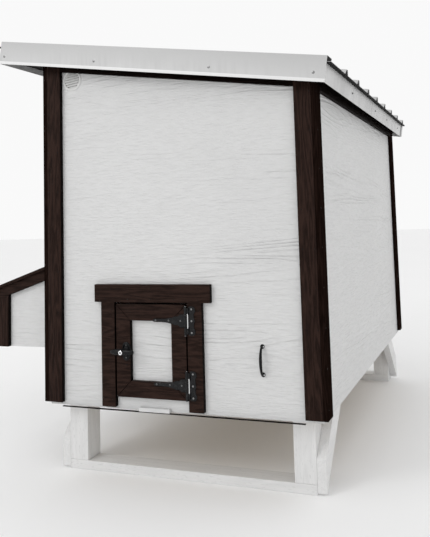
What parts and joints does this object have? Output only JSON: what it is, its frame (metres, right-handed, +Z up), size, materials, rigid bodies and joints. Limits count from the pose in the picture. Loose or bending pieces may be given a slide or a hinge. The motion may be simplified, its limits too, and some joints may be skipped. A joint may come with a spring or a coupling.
{
  "type": "chicken coop",
  "caption": "Raised wooden chicken coop with lean-to ribbed metal roof, hinged pop door, rear access door, hung nest box with lifting lid, vents and skid legs.",
  "frame": {"origin": "centre of the base of the whole coop's bounding box, on the ground", "axes": "+Z up, +Y from the pop-door end to the rear end, +X from the nest-box side to the low eave"},
  "size_m": [1.7076, 1.969, 1.8835],
  "materials": {
    "siding_white": "satin white paint on embossed wood-grain siding",
    "legs_white": "satin white paint on planed timber",
    "trim_brown": "satin dark brown paint on wood-grain trim boards",
    "bare_timber": "unfinished softwood and plywood",
    "roof_white": "semi-gloss white coated steel sheet",
    "hardware_black": "black powder coat",
    "vent_white": "matt white moulded plastic"
  },
  "bodies": {
    "coop": {"skid_front": "legs_white", "skid_rear": "legs_white", "post_front_low": "legs_white", "post_front_tall": "legs_white", "post_rear_low": "legs_white", "post_rear_tall": "legs_white", "brace_front_low": "legs_white", "brace_front_tall": "legs_white", "brace_rear_low": "legs_white", "brace_rear_tall": "legs_white", "wall_front": "siding_white", "wall_back": "siding_white", "wall_low_side": "siding_white", "wall_tall_side": "siding_white", "nest_box": "siding_white", "corner_trim_front_low": "trim_brown", "corner_trim_front_tall": "trim_brown", "corner_trim_rear_low": "trim_brown", "corner_trim_rear_tall": "trim_brown", "pop_header": "trim_brown", "pop_jamb_latch": "trim_brown", "pop_jamb_hinge": "trim_brown", "access_surround": "trim_brown", "nest_trim_front": "trim_brown", "nest_trim_rear": "trim_brown", "roof_frame": "trim_brown", "floor_frame": "bare_timber", "floor_deck": "bare_timber", "roof_deck": "bare_timber", "roost_bar": "bare_timber", "nest_dividers": "bare_timber", "stud_front_low": "bare_timber", "stud_front_tall": "bare_timber", "stud_rear_low": "bare_timber", "stud_rear_tall": "bare_timber", "roof_panel": "roof_white", "rake_trim_front": "roof_white", "rake_trim_rear": "roof_white", "eave_trim_low": "roof_white", "eave_trim_high": "roof_white", "pull_handle": "hardware_black", "pop_hinge_leaf_upper": "hardware_black", "pop_hinge_leaf_lower": "hardware_black", "access_hinge_leaf_upper": "hardware_black", "access_hinge_leaf_lower": "hardware_black", "vent_front": "vent_white", "vent_back": "vent_white"},
    "pop_door": {"pop_door_frame": "trim_brown", "pop_door_panel": "siding_white", "pop_latch_plate": "hardware_black", "pop_hinge_strap_upper": "hardware_black", "pop_hinge_strap_lower": "hardware_black"},
    "pop_latch": {"pop_latch_handle": "hardware_black"},
    "access_door": {"access_door_frame": "trim_brown", "access_door_panel": "siding_white", "access_latch_plate": "hardware_black", "access_hinge_strap_upper": "hardware_black", "access_hinge_strap_lower": "hardware_black"},
    "access_latch": {"access_latch_handle": "hardware_black"},
    "nest_lid": {"nest_lid": "trim_brown"}
  },
  "joints": [
    {"name": "pop_door_hinge", "type": "hinge", "parent": "coop", "child": "pop_door", "pos_m": [0.19902, -0.93952, 0.52578], "axis": [0, 0, 1], "range_deg": [0, 165]},
    {"name": "pop_latch_turn", "type": "hinge", "parent": "pop_door", "child": "pop_latch", "pos_m": [-0.07784, -0.93952, 0.52578], "axis": [0, 1, 0], "range_deg": [0, 90]},
    {"name": "access_door_hinge", "type": "hinge", "parent": "coop", "child": "access_door", "pos_m": [-0.49313, 0.74958, 0.9398], "axis": [0, 0, -1], "range_deg": [0, 165]},
    {"name": "access_latch_turn", "type": "hinge", "parent": "access_door", "child": "access_latch", "pos_m": [-0.49313, 0.22126, 0.9398], "axis": [1, 0, 0], "range_deg": [0, 90]},
    {"name": "nest_lid_hinge", "type": "hinge", "parent": "coop", "child": "nest_lid", "pos_m": [-0.48043, -0.39088, 0.88608], "axis": [0, 1, 0], "range_deg": [0, 100]}
  ]
}
